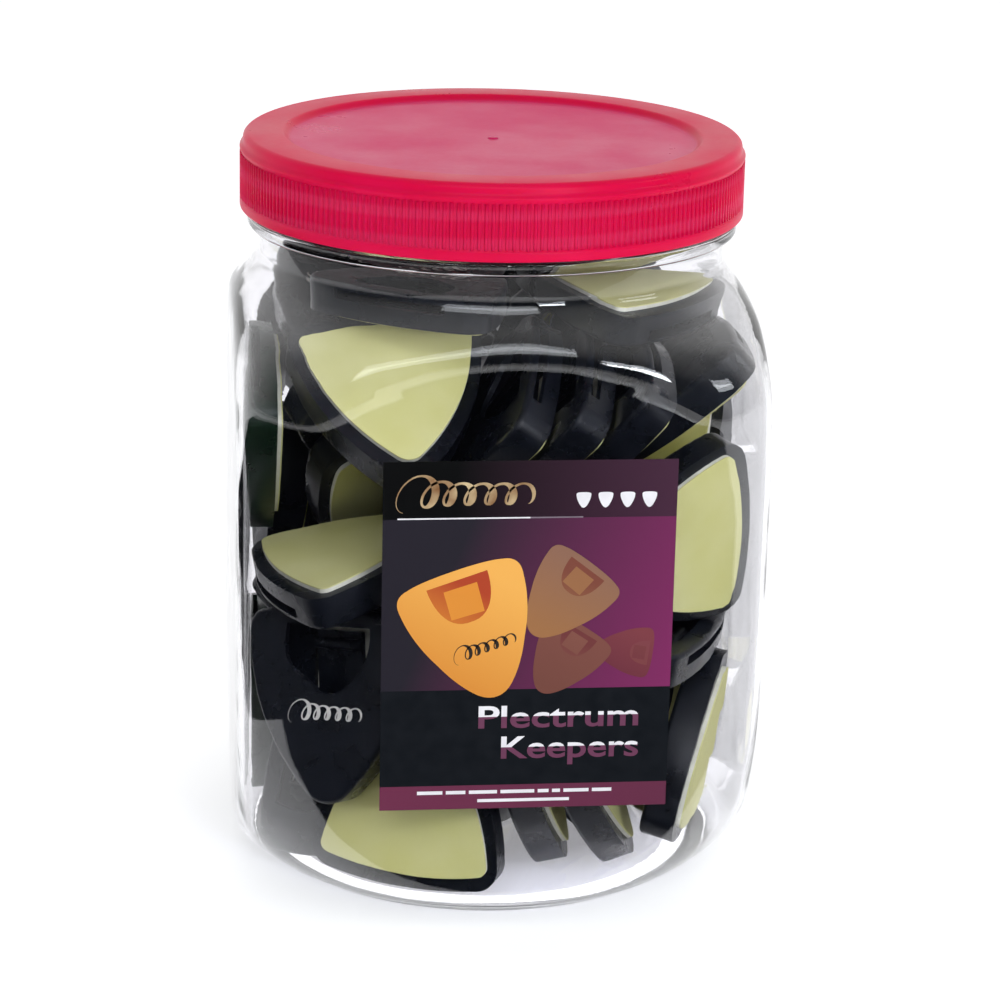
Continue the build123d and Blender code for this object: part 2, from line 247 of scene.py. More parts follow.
FAINT_INK = Finish("faint ink", (0.16, 0.12, 0.15), (0.22, 0.17, 0.21), 0.45, 0.65, 300.0, 0.02, 1500.0)
DARK_INK = Finish("dark ink", (0.02, 0.012, 0.008), (0.03, 0.02, 0.012), 0.5, 0.7, 300.0, 0.02, 1500.0)


# ------------------------------------------------------------------ node graphs
def tune(node: bpy.types.Node, values: dict[str, object]) -> None:
    """Sets inputs of a node by name."""
    for name, value in values.items():
        node.inputs[name].default_value = value


class Graph:
    """Thin wrapper that adds and links nodes of one node tree."""

    def __init__(self, tree: bpy.types.NodeTree) -> None:
        self.tree = tree

    def add(self, kind: str, /, **settings: object) -> bpy.types.Node:
        """Adds a node.

        Args:
            kind: Blender's node type name.
            settings: attributes to set, such as operation.
        Returns:
            The node.
        """
        node = self.tree.nodes.new(kind)
        for key, value in settings.items():
            setattr(node, key, value)
        return node

    def put(self, socket: bpy.types.NodeSocket, value: object) -> None:
        """Links a socket to another, or sets its value.

        Args:
            socket: the input.
            value: an output socket, a number or a tuple.
        """
        if isinstance(value, bpy.types.NodeSocket):
            self.tree.links.new(value, socket)
        else:
            socket.default_value = value

    def maths(self, operation: str, a: object, b: object = 0.0, c: object = 0.0) -> bpy.types.NodeSocket:
        """Adds a Math node and returns its output."""
        node = self.add("ShaderNodeMath", operation=operation)
        for socket, value in zip(node.inputs, (a, b, c)):
            self.put(socket, value)
        return node.outputs[0]

    def mix(self, factor: object, a: object, b: object) -> bpy.types.NodeSocket:
        """Mixes two colours and returns the result."""
        node = self.add("ShaderNodeMix", data_type="RGBA")
        self.put(node.inputs[0], factor)
        for socket, value in ((node.inputs[6], a), (node.inputs[7], b)):
            if isinstance(value, tuple):
                value = (*value, 1.0)[:4]
            self.put(socket, value)
        return node.outputs[2]

    def spread(self, value: object, low: float, high: float, to_low: float = 0.0,
               to_high: float = 1.0) -> bpy.types.NodeSocket:
        """Maps a value from one range to another, clamped, and returns the result."""
        node = self.add("ShaderNodeMapRange")
        for socket, number in zip(node.inputs, (value, low, high, to_low, to_high)):
            self.put(socket, number)
        return node.outputs[0]

    def noise(self, where: object, scale: float, detail: float = 3.0) -> bpy.types.NodeSocket:
        """Adds a noise texture and returns its value output."""
        node = self.add("ShaderNodeTexNoise")
        self.put(node.inputs["Vector"], where)
        tune(node, {"Scale": scale, "Detail": detail})
        return node.outputs[0]

    def parts(self, vector: object) -> Sequence[bpy.types.NodeSocket]:
        """Splits a vector and returns its x, y and z."""
        node = self.add("ShaderNodeSeparateXYZ")
        self.put(node.inputs[0], vector)
        return node.outputs


def material(name: str) -> tuple[bpy.types.Material, Graph, bpy.types.Node, object]:
    """Starts a material.

    Args:
        name: material name.
    Returns:
        The material, its graph, its Principled node and the Object coordinate socket.
    """
    made = bpy.data.materials.new(name)
    made.use_nodes = True
    graph = Graph(made.node_tree)
    shader = made.node_tree.nodes["Principled BSDF"]
    where = graph.add("ShaderNodeTexCoord").outputs["Object"]
    return made, graph, shader, where


def wear(graph: Graph, shader: bpy.types.Node, where: object, finish: Finish) -> object:
    """Gives a Principled node uneven roughness and a fine bump.

    Args:
        graph: graph of the material.
        shader: the Principled node.
        where: coordinates in metres.
        finish: surface numbers.
    Returns:
        A slow 0 to 1 mask that colours can follow.
    """
    slow = graph.spread(graph.noise(where, finish.scale, 4.0), 0.3, 0.7)
    fine = graph.noise(where, finish.grain, 2.0)
    blend = graph.maths("MULTIPLY_ADD", fine, 0.25, graph.maths("MULTIPLY", slow, 0.75))
    rough = graph.spread(blend, 0.1, 0.9, finish.low, finish.high)
    graph.put(shader.inputs["Roughness"], rough)
    bump = graph.add("ShaderNodeBump")
    tune(bump, {"Strength": finish.bump, "Distance": 0.0002})
    graph.put(bump.inputs["Height"], fine)
    graph.put(shader.inputs["Normal"], bump.outputs[0])
    return slow


def plain(finish: Finish) -> bpy.types.Material:
    """Material of one even substance with slight grain and wear."""
    made, graph, shader, where = material(finish.name)
    slow = wear(graph, shader, where, finish)
    graph.put(shader.inputs["Base Color"], graph.mix(slow, finish.colour, finish.second))
    tune(shader, {"IOR": finish.ior, "Specular IOR Level": finish.gloss, "Metallic": finish.metal,
                  "Transmission Weight": finish.transmission})
    return made


def clear_pet() -> bpy.types.Material:
    """Clear bottle plastic that lets the light of the studio through to what it holds."""
    made, graph, shader, where = material("clear bottle plastic")
    cloud = graph.spread(graph.noise(where, 28.0, 3.0), 0.35, 0.75)
    graph.put(shader.inputs["Base Color"], graph.mix(cloud, (0.975, 0.97, 0.985), (0.95, 0.945, 0.97)))
    graph.put(shader.inputs["Roughness"], graph.spread(cloud, 0.0, 1.0, 0.008, 0.035))
    tune(shader, {"IOR": 1.50, "Specular IOR Level": 0.3, "Metallic": 0.0, "Transmission Weight": 1.0})
    ripple = graph.add("ShaderNodeBump")
    tune(ripple, {"Strength": 0.25, "Distance": 0.0006})
    graph.put(ripple.inputs["Height"], graph.noise(where, 60.0, 1.0))
    graph.put(shader.inputs["Normal"], ripple.outputs[0])
    through = graph.add("ShaderNodeBsdfTransparent")
    through.inputs[0].default_value = (0.93, 0.93, 0.96, 1.0)
    light = graph.add("ShaderNodeLightPath")
    blend = graph.add("ShaderNodeMixShader")
    graph.put(blend.inputs[0], light.outputs["Is Shadow Ray"])
    graph.put(blend.inputs[1], shader.outputs[0])
    graph.put(blend.inputs[2], through.outputs[0])
    output = made.node_tree.nodes["Material Output"]
    graph.put(output.inputs[0], blend.outputs[0])
    return made


def red_lid() -> bpy.types.Material:
    """Translucent crimson plastic with painted light: a paler band where the neck thread shows through, and
    a painted highlight that makes the top panel lighter and pinker.
    """
    made, graph, shader, where = material(RED.name)
    slow = wear(graph, shader, where, RED)
    x, y, z = graph.parts(where)
    # Painted light: a paler band follows the thread helix, where the neck thread shows through the
    # translucent lid.
    angle = graph.maths("DIVIDE", graph.maths("ARCTAN2", y, x), 2 * math.pi)
    height = graph.maths("DIVIDE", graph.maths("SUBTRACT", z, THREAD.start * MM), THREAD.pitch * MM)
    phase = graph.maths("FRACT", graph.maths("ADD", graph.maths("SUBTRACT", height, angle), 10.0))
    band = graph.maths("ABSOLUTE", graph.maths("SUBTRACT", phase, 0.5))
    ridge = graph.spread(band, 0.12, 0.26, 1.0, 0.0)
    foot, head = (0.1555, 0.1570), (0.1665, 0.1650)
    reach = graph.maths("MULTIPLY", graph.spread(z, *foot), graph.spread(z, *head))
    ridge = graph.maths("MULTIPLY", ridge, reach)
    body = graph.mix(slow, RED.colour, RED.second)
    # The painted see-through band gets a paler crimson.
    colour = graph.mix(graph.maths("MULTIPLY", ridge, 0.55), body, (0.80, 0.03, 0.12))
    # Painted highlight: the top panel inside the recess edge gets a lighter, pinker crimson in place of the
    # light it catches.
    square = graph.maths("ADD", graph.maths("MULTIPLY", x, x), graph.maths("MULTIPLY", y, y))
    panel_edge, panel_height = (0.0462, 0.0472), (0.1690, 0.1696)
    inner = graph.spread(graph.maths("SQRT", square), *panel_edge, 1.0, 0.0)
    panel = graph.maths("MULTIPLY", inner, graph.spread(z, *panel_height))
    colour = graph.mix(panel, colour, (0.72, 0.020, 0.130))
    graph.put(shader.inputs["Base Color"], colour)
    tune(shader, {"IOR": RED.ior, "Specular IOR Level": RED.gloss, "Transmission Weight": RED.transmission,
                  "Subsurface Weight": 0.35, "Subsurface Radius": (0.9, 0.08, 0.12),
                  "Subsurface Scale": 0.004})
    return made


def label_paper() -> bpy.types.Material:
    """Printed ground of the label: dark top strip, plum field, black band and plum foot band."""
    made, graph, shader, where = material("label print")
    slow = wear(graph, shader, where, WHITE_INK)
    x, _, z = graph.parts(where)
    left, top = (LABEL.x - LABEL.width / 2) * MM, (LABEL.z + LABEL.height / 2) * MM
    across = graph.maths("DIVIDE", graph.maths("SUBTRACT", x, left), LABEL.width * MM)
    down = graph.maths("DIVIDE", graph.maths("SUBTRACT", top, z), LABEL.height * MM)
    strip = graph.mix(graph.spread(across, 0.25, 1.0), (0.0025, 0.0028, 0.0032), (0.060, 0.020, 0.043))
    slant = graph.maths("MULTIPLY_ADD", across, 0.9, graph.maths("MULTIPLY", down, 0.45))
    glow = graph.spread(slant, 0.35, 1.2)
    field = graph.mix(glow, (0.020, 0.017, 0.026), (0.210, 0.022, 0.110))
    band = graph.mix(slow, (0.0055, 0.0075, 0.0110), (0.0080, 0.0100, 0.0140))
    foot = graph.mix(across, (0.155, 0.028, 0.068), (0.130, 0.026, 0.060))
    colour = strip
    for start, end, next_colour in ((0.1605, 0.1615, field), (0.6500, 0.6510, band), (0.9300, 0.9310, foot)):
        colour = graph.mix(graph.spread(down, start, end), colour, next_colour)
    graph.put(shader.inputs["Base Color"], colour)
    tune(shader, {"Specular IOR Level": 0.1})
    return made


def two_tone_ink(rows: Sequence[float]) -> bpy.types.Material:
    """White ink that turns plum below the middle of each row of words.

    Args:
        rows: heights of the colour changes in millimetres, from the top row down.
    Returns:
        The material.
    """
    made, graph, shader, where = material("two tone ink")
    slow = wear(graph, shader, where, WHITE_INK)
    _, _, z = graph.parts(where)
    white = graph.mix(slow, WHITE_INK.colour, WHITE_INK.second)
    first, second = rows
    soft, row_top = 0.05, 3.4
    upper = graph.spread(z, (first - soft) * MM, (first + soft) * MM)
    below = graph.maths("LESS_THAN", z, (second + row_top) * MM)
    lower = graph.maths("MULTIPLY", below, graph.spread(z, (second - soft) * MM, (second + soft) * MM))
    mask = graph.maths("MAXIMUM", upper, lower)
    graph.put(shader.inputs["Base Color"], graph.mix(mask, (0.155, 0.030, 0.085), white))
    return made


def picture_ink(name: str, low: Colour, high: Colour, middle: Point, reach: float) -> bpy.types.Material:
    """Ink of a printed picture, shaded from one colour to another across it.

    Args:
        name: material name.
        low: colour at the lower left.
        high: colour at the upper right.
        middle: centre of the picture in metres.
        reach: half its width in metres.
    Returns:
        The material.
    """
    made, graph, shader, where = material(name)
    wear(graph, shader, where, WHITE_INK)
    x, _, z = graph.parts(where)
    slant = 0.5
    along = graph.maths("ADD", graph.maths("MULTIPLY", x, slant), z)
    centre = middle[0] * slant + middle[2]
    share = graph.spread(along, centre - reach, centre + reach)
    graph.put(shader.inputs["Base Color"], graph.mix(share, low, high))
    tune(shader, {"Specular IOR Level": 0.1})
    return made


# ------------------------------------------------------------------ meshes
def mesh_object(name: str, verts: Sequence, faces: Sequence, smooth: bool = True) -> bpy.types.Object:
    """Makes an object from vertices in metres.

    Args:
        name: piece name.
        verts: positions.
        faces: vertex numbers of each face.
        smooth: smooth shading.
    Returns:
        The object, linked to the scene.
    """
    mesh = bpy.data.meshes.new(name)
    mesh.from_pydata([tuple(v) for v in verts], [], [tuple(f) for f in faces])
    mesh.validate()
    if smooth:
        mesh.shade_smooth()
    made = bpy.data.objects.new(name, mesh)
    bpy.context.scene.collection.objects.link(made)
    return made


def finish_piece(piece: bpy.types.Object, surface: bpy.types.Material, body: str,
                 nodes: Sequence[str] = ()) -> None:
    """Gives a piece its material and body, and hides the CAD nodes it stands for."""
    piece.data.materials.clear()
    piece.data.materials.append(surface)
    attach(piece, body)
    if nodes:
        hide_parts(*nodes)


def tube(rings: Sequence[np.ndarray], closed_loop: bool = True) -> tuple[np.ndarray, list[tuple[int, ...]]]:
    """Quads between rings of equal length.

    Args:
        rings: arrays of points.
        closed_loop: joins the last ring to the first.
    Returns:
        Vertices and faces.
    """
    count = len(rings[0])
    last = len(rings) if closed_loop else len(rings) - 1
    faces = []
    for i in range(last):
        a, b = i * count, ((i + 1) % len(rings)) * count
        faces += [(a + k, a + (k + 1) % count, b + (k + 1) % count, b + k) for k in range(count)]
    return np.concatenate(rings), faces


def lathe(name: str, profile: Sequence[Pair], around: int) -> bpy.types.Object:
    """Turned piece whose profile of (radius, height) in millimetres starts and ends on the axis."""
    angle = np.arange(around) * 2 * np.pi / around
    circle = np.column_stack([np.cos(angle), np.sin(angle), np.zeros(around)])
    rings = [(circle * r + (0, 0, z)) * MM for r, z in profile[1:-1]]
    verts, faces = tube(rings, closed_loop=False)
    first, last = len(verts), len(verts) + 1
    ends = [(0, 0, profile[0][1] * MM), (0, 0, profile[-1][1] * MM)]
    verts = np.concatenate([verts, ends])
    top = (len(rings) - 1) * around
    faces += [(first, (k + 1) % around, k) for k in range(around)]
    faces += [(last, top + k, top + (k + 1) % around) for k in range(around)]
    return mesh_object(name, verts, faces)


def rounded(points: Sequence[Pair], radius: float, steps: int = 4) -> list[Pair]:
    """Profile with its inner corners rounded by short arcs.

    Args:
        points: corners in millimetres.
        radius: distance from a corner at which the curve starts.
        steps: points on each curve.
    Returns:
        The new profile.
    """
    out = [points[0]]
    for before, here, after in zip(points, points[1:], points[2:]):
        p, q, r = (np.array(v, float) for v in (before, here, after))
        cut = min(radius, 0.45 * np.linalg.norm(p - q), 0.45 * np.linalg.norm(r - q))
        start = q + (p - q) / np.linalg.norm(p - q) * cut
        end = q + (r - q) / np.linalg.norm(r - q) * cut
        for t in np.linspace(0, 1, steps):
            out.append(tuple((1 - t) ** 2 * start + 2 * t * (1 - t) * q + t * t * end))
    out.append(points[-1])
    return out


def helix_ridge(name: str, radius: float, depth: float, angle: float, root: float = 2.3,
                crest: float = 0.9) -> bpy.types.Object:
    """Ridge of the screw thread with ends that fade into the wall.

    Args:
        name: piece name.
        radius: radius of the wall in millimetres.
        depth: height of the crest over the wall in millimetres, negative when it points inward.
        angle: where the ridge starts, in radians.
        root: width at the wall in millimetres.
        crest: width at the crest in millimetres.
    Returns:
        The piece.
    """
    steps, fade_rate = 220, 14
    rings = []
    for t in np.linspace(0, 1, steps):
        fade = min(1.0, fade_rate * t, fade_rate * (1 - t)) ** 0.5
        turn = angle + 2 * np.pi * THREAD.turns * t
        height = THREAD.start + THREAD.pitch * THREAD.turns * t
        out = np.array([math.cos(turn), math.sin(turn), 0])
        base = radius - math.copysign(0.3, depth)
        tip = radius + depth * max(fade, 0.02)
        corners = [(base, -root / 2), (tip, -crest / 2), (tip, crest / 2), (base, root / 2)]
        rings.append(np.array([out * r + (0, 0, height + z) for r, z in corners]) * MM)
    verts, faces = tube(rings, closed_loop=False)
    count = len(verts)
    faces += [(3, 2, 1, 0), tuple(range(count - 4, count))]
    if depth < 0:
        faces = [tuple(reversed(face)) for face in faces]
    return mesh_object(name, verts, faces)


# ------------------------------------------------------------------ the jar
class Jar:
    """Blown plastic jar with four flat panels, rounded corners, foot, shoulder and threaded neck."""

    heel = ((0.0, 51.0), (1.6, 54.2), (7.5, 61.6), (15.0, 66.7), (24.0, 70.6), (42.0, 74.6), (60.0, 75.5))
    heel_steepness = 1.3
    shoulder = ((117.0, 75.5), (125.0, 73.6), (131.4, 68.6), (136.9, 60.4), (140.6, 56.3), (145.0, 54.0))

    def __init__(self, surface: bpy.types.Material) -> None:
        self.surface = surface

    def outline(self) -> list[Pair]:
        """Height and corner radius of the outside from foot to bead, smoothed, in millimetres."""
        marks = np.array([*self.heel, *self.shoulder])
        heights = np.concatenate([np.linspace(0, 3, 7), np.linspace(4, 60, 34), np.linspace(64, 116, 12),
                                  np.linspace(117, 145, 34)])
        radii = np.array([self._smooth(marks, z) for z in heights])
        return list(zip(heights, radii))

    def _smooth(self, marks: np.ndarray, z: float) -> float:
        """Radius at one height by a curve that passes the marks with matched slopes."""
        k = int(np.clip(np.searchsorted(marks[:, 0], z, side="right") - 1, 0, len(marks) - 2))
        slopes = np.zeros(len(marks))
        steps = np.diff(marks[:, 1]) / np.diff(marks[:, 0])
        for i in range(1, len(marks) - 1):
            if steps[i - 1] * steps[i] > 0:
                slopes[i] = 2 * steps[i - 1] * steps[i] / (steps[i - 1] + steps[i])
        slopes[0] = steps[0] * self.heel_steepness
        width = marks[k + 1, 0] - marks[k, 0]
        t = (z - marks[k, 0]) / width
        return float(
            (2 * t**3 - 3 * t**2 + 1) * marks[k, 1]
            + (t**3 - 2 * t**2 + t) * width * slopes[k]
            + (3 * t**2 - 2 * t**3) * marks[k + 1, 1]
            + (t**3 - t**2) * width * slopes[k + 1]
        )

    def ring(self, radius: float, z: float, inset: float, around: int) -> np.ndarray:
        """Points of one level section, a circle cut by the four panels, softer where less crisp."""
        angle = (np.arange(around) + 0.5) * 2 * np.pi / around
        flat = (JAR.half_width - inset) / np.maximum(np.abs(np.cos(angle)), np.abs(np.sin(angle)))
        crisp = float(np.interp(z, JAR.crease_heights, JAR.crispness))
        unit = JAR.mean_radius
        reach = (np.full(around, max(radius - inset, 0.5)) / unit) ** -crisp + (flat / unit) ** -crisp
        reach = unit * reach ** (-1 / crisp)
        return np.column_stack([reach * np.cos(angle), reach * np.sin(angle), np.full(around, z)]) * MM

    def build(self) -> None:
        """Makes the jar and its neck thread."""
        around = 256
        outside = [(r, z, 0.0) for z, r in self.outline()]
        bore = JAR.neck - JAR.wall
        bead = rounded([
            (JAR.neck, JAR.neck_start), (JAR.neck, JAR.bead_low), (JAR.bead, JAR.bead_low),
            (JAR.bead, JAR.bead_high), (JAR.neck, JAR.bead_high), (JAR.neck, JAR.rim), (bore, JAR.rim),
            (bore, JAR.neck_start),
        ], JAR.edge_round)
        outside += [(r, z, 0.0) for r, z in bead[1:-1]]
        bottom = JAR.base + JAR.wall
        inside = [(r, max(z, bottom), JAR.wall) for z, r in reversed(self.outline())]
        centre_in = [(r, bottom, 0.0) for r in (46.0, 30.0, 12.0, 1.0)]
        centre_out = [(r, JAR.base, 0.0) for r in (1.0, 12.0, 30.0, 43.0)]
        centre_out += [(45.5, 0.5, 0.0), (47.5, 0.0, 0.0)]
        section = centre_out + outside + inside + centre_in
        rings = [self.ring(r, z, inset, around) for r, z, inset in section]
        verts, faces = tube(rings)
        shell = mesh_object("jar_body", verts, faces)
        finish_piece(shell, self.surface, "jar", ["jar_shell"])
        thread = helix_ridge("neck_thread", JAR.neck, JAR.thread_depth, 0.0)
        finish_piece(thread, self.surface, "jar", ["jar_shell"])


# ------------------------------------------------------------------ the lid
class Lid:
    """Crimson screw lid with a sunk panel, gripping ribs and an inner thread."""

    def __init__(self, surface: bpy.types.Material) -> None:
        self.surface = surface

    def shell(self) -> bpy.types.Object:
        """Turned body of the lid."""
        r, top, low = LID.radius, LID.top, LID.bottom
        core = r - LID.rib_depth
        profile = [
            (0, top - 1.4), (46.6, top - 1.4), (47.2, top - 0.9), (48.0, top), (56.3, top),
            (57.2, top - 0.8), (57.3, top - 2.4), (r, top - 3.1), (r, top - 3.6), (core, top - 4.3),
            (core, low + 2.7), (r, low + 2.2), (r, low + 0.3), (r - 0.4, low), (LID.bore, low),
            (LID.bore, top - 2.8), (0, top - 2.8),
        ]
        return lathe("lid_body", list(reversed(rounded(profile, LID.edge_round, 3))), 288)

    def ribs(self) -> bpy.types.Object:
        """Fine upright ribs round the skirt, instanced in Geometry Nodes and made a plain mesh."""
        tree = bpy.data.node_groups.new("gripping ribs", "GeometryNodeTree")
        kinds = {"Count": "Int", "Radius": "Float", "Height": "Float", "Depth": "Float", "Middle": "Float",
                 "Seed": "Int", "Surface": "Material"}
        for name, kind in kinds.items():
            tree.interface.new_socket(name, in_out="INPUT", socket_type="NodeSocket" + kind)
        tree.interface.new_socket("Geometry", in_out="OUTPUT", socket_type="NodeSocketGeometry")
        graph = Graph(tree)
        given = graph.add("NodeGroupInput")
        circle = graph.add("GeometryNodeMeshCircle")
        graph.put(circle.inputs["Vertices"], given.outputs["Count"])
        graph.put(circle.inputs["Radius"], given.outputs["Radius"])
        bar = graph.add("GeometryNodeMeshCylinder")
        bar.inputs["Vertices"].default_value = 6
        graph.put(bar.inputs["Radius"], given.outputs["Depth"])
        graph.put(bar.inputs["Depth"], given.outputs["Height"])
        jitter = graph.add("FunctionNodeRandomValue", data_type="FLOAT")
        jitter.inputs[2].default_value, jitter.inputs[3].default_value = LID.rib_scale
        graph.put(jitter.inputs["Seed"], given.outputs["Seed"])
        lay = graph.add("GeometryNodeInstanceOnPoints")
        graph.put(lay.inputs["Points"], circle.outputs[0])
        graph.put(lay.inputs["Instance"], bar.outputs[0])
        graph.put(lay.inputs["Scale"], jitter.outputs[1])
        lift = graph.add("ShaderNodeCombineXYZ")
        graph.put(lift.inputs[2], given.outputs["Middle"])
        move = graph.add("GeometryNodeTransform")
        graph.put(move.inputs["Geometry"], lay.outputs[0])
        graph.put(move.inputs["Translation"], lift.outputs[0])
        real = graph.add("GeometryNodeRealizeInstances")
        graph.put(real.inputs[0], move.outputs[0])
        paint = graph.add("GeometryNodeSetMaterial")
        graph.put(paint.inputs["Geometry"], real.outputs[0])
        graph.put(paint.inputs["Material"], given.outputs["Surface"])
        graph.put(graph.add("NodeGroupOutput").inputs[0], paint.outputs[0])

        holder = mesh_object("lid_ribs", [], [])
        modifier = holder.modifiers.new("ribs", "NODES")
        modifier.node_group = tree
        values = {"Count": LID.ribs, "Radius": (LID.radius - LID.rib_depth - LID.rib_sink) * MM,
                  "Height": (LID.rib_high - LID.rib_low) * MM, "Depth": LID.rib_radius * MM,
                  "Middle": (LID.rib_high + LID.rib_low) / 2 * MM, "Seed": LID.rib_seed,
                  "Surface": self.surface}
        for item in tree.interface.items_tree:
            if item.in_out == "INPUT":
                modifier[item.identifier] = values[item.name]
        bpy.context.view_layer.update()
        ready = holder.evaluated_get(bpy.context.evaluated_depsgraph_get())
        mesh = bpy.data.meshes.new_from_object(ready)
        holder.modifiers.clear()
        holder.data = mesh
        holder.data.shade_smooth()
        return holder

    def build(self) -> None:
        """Makes the lid's pieces on its body."""
        gate = lathe("lid_gate_mark", [(0, LID.top - 1.6), (1.5, LID.top - 1.6), (1.1, LID.top - 1.15),
                                       (0.5, LID.top - 1.1), (0, LID.top - 1.25)], 24)
        inner = helix_ridge("lid_thread", LID.bore, -LID.thread_depth, math.pi)
        for piece in (self.shell(), self.ribs(), inner, gate):
            finish_piece(piece, self.surface, "lid", ["lid_shell"])


# ------------------------------------------------------------------ flat prints
def holder_outline(scale: float = 1.0, steps: int = 14) -> np.ndarray:
    """Rounded triangle of a holder seen from its face.

    Args:
        scale: size against the real holder.
        steps: points on each quarter of the outline.
    Returns:
        Points in millimetres, anticlockwise, wide edge up.
    """
    rx, rz = HOLDER.corner
    sx, sz = HOLDER.side
    half = [
        ((0, HOLDER.crown), (rx * 0.55, HOLDER.crown), (rx - 5.5, rz + 1.6)),
        ((rx - 5.5, rz + 1.6), (rx + 0.4, rz + 0.6), (rx - 0.6, rz - 6.0)),
        ((rx - 0.6, rz - 6.0), (sx + 3.2, sz + 5.0), (sx - 2.2, sz - 5.5)),
        ((sx - 2.2, sz - 5.5), (11.6, HOLDER.tip + 8.6), (6.9, HOLDER.tip + 3.6)),
        ((6.9, HOLDER.tip + 3.6), (3.7, HOLDER.tip), (0, HOLDER.tip)),
    ]
    right = []
    for a, b, c in half:
        for t in np.arange(steps) / steps:
            right.append((1 - t) ** 2 * np.array(a) + 2 * t * (1 - t) * np.array(b) + t * t * np.array(c))
    right.append(np.array((0.0, HOLDER.tip)))
    side = np.array(right)
    left = side[1:-1][::-1] * (-1, 1)
    return np.concatenate([side, left])[::-1] * scale


def window_outline(steps: int = 24) -> np.ndarray:
    """Thumb window of a holder, flat along the wide edge and round below, in millimetres."""
    angle = np.linspace(0, -math.pi, steps)
    half_width, top, drop, squareness = 10.7, 18.4, 15.6, 0.8
    across = half_width * np.sign(np.cos(angle)) * np.abs(np.cos(angle)) ** squareness
    return np.column_stack([across, top + drop * np.sin(angle)])


def swash(width: float, loops: int = 6, steps: int = 150) -> tuple[np.ndarray, np.ndarray]:
    """Invented run of pen loops that shrink to the right.

    Args:
        width: length in millimetres.
        loops: number of loops.
        steps: points on the line.
    Returns:
        Points of the two edges of the stroke.
    """
    t = np.linspace(0, 1, steps)
    turn = 2 * math.pi * loops * t
    size = width * (0.085 + 0.10 * np.exp(-7 * t))
    run = width * (t - 0.5) - 0.75 * size * np.sin(turn)
    path = np.column_stack([run, size * (0.3 - np.cos(turn))])
    path[:, 0] += 0.25 * path[:, 1]
    along = np.gradient(path, axis=0)
    along /= np.linalg.norm(along, axis=1)[:, None]
    normal = np.column_stack([-along[:, 1], along[:, 0]])
    weight = width * (0.010 + 0.022 * np.clip(-along[:, 1], 0, 1) ** 1.5)
    weight *= np.minimum(1, 8 * np.minimum(t, 1 - t) + 0.15)
    return path + normal * weight[:, None], path - normal * weight[:, None]


def spin(points: np.ndarray, degrees: float) -> np.ndarray:
    """Points of a flat figure turned anticlockwise."""
    c, s = math.cos(math.radians(degrees)), math.sin(math.radians(degrees))
    return points @ np.array([[c, s], [-s, c]])


